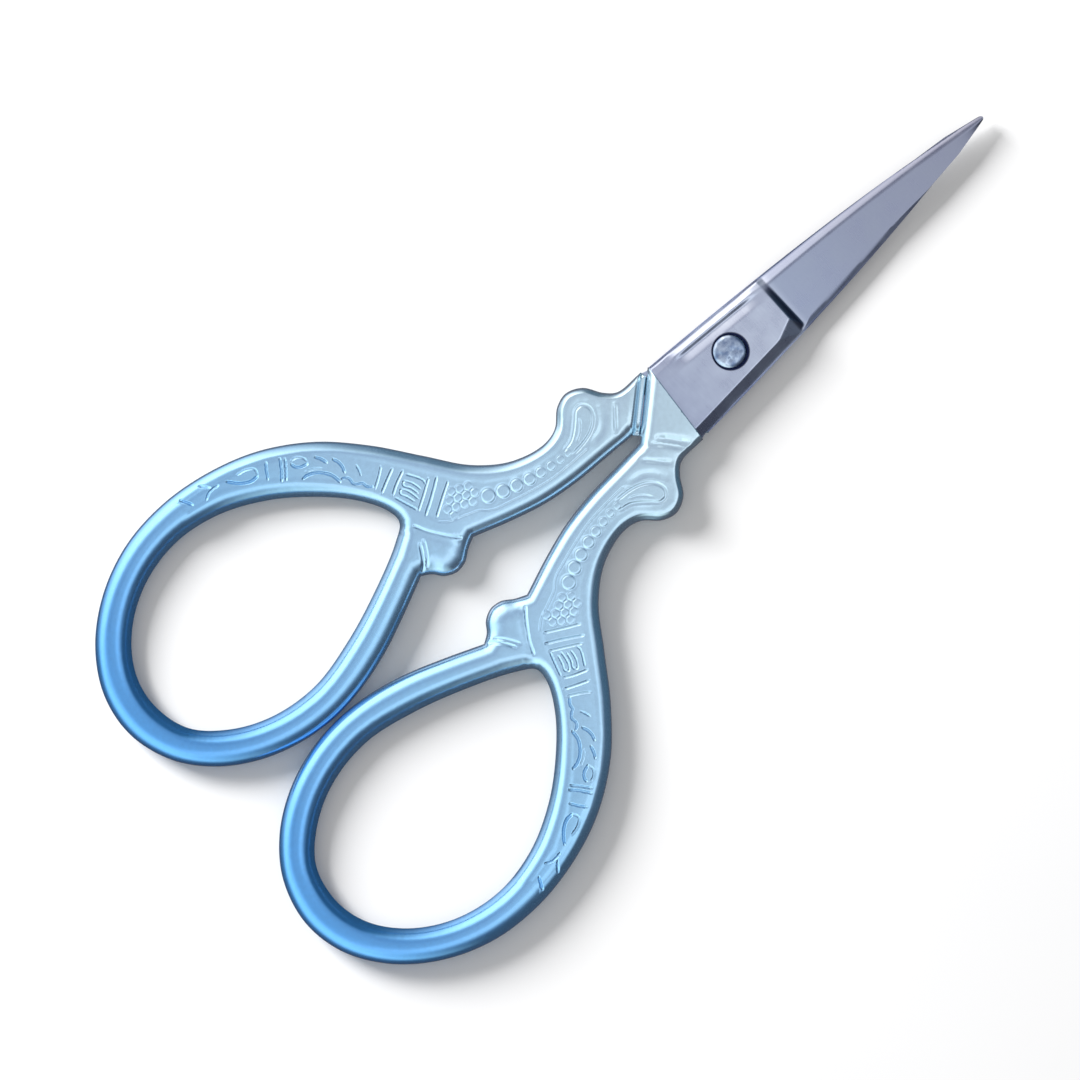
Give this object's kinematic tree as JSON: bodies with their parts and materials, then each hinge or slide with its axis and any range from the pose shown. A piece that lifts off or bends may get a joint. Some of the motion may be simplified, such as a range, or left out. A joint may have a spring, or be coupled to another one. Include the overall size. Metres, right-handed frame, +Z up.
{
  "type": "embroidery scissors",
  "caption": "Small embroidery scissors lying closed: slim tapered steel blades on a domed pivot rivet, and cast handles with oval finger rings, a lug and relief ornament.",
  "frame": {"origin": "where the pivot's axis meets the plane the closed scissors lie on, at the centre of the rivet's flat tail", "axes": "+X along the closed scissors to the tips, +Z up along the pivot's axis out of the rivet's domed head, +Y towards the lower half's finger ring"},
  "size_m": [0.114, 0.06, 0.0036],
  "materials": {
    "blade_steel": "satin ground steel with a faint lavender tint",
    "handle_finish": "pearl metallic blue coating, deep at the rings and pale at the neck",
    "rivet_steel": "polished steel"
  },
  "bodies": {
    "lower_half": {"lower_blade": "blade_steel", "lower_handle": "handle_finish", "pivot_rivet": "rivet_steel"},
    "upper_half": {"upper_blade": "blade_steel", "upper_handle": "handle_finish"}
  },
  "joints": [
    {"name": "pivot", "type": "hinge", "parent": "lower_half", "child": "upper_half", "pos_m": [0, 0, 0], "axis": [0, 0, 1], "range_deg": [0, 125]}
  ]
}
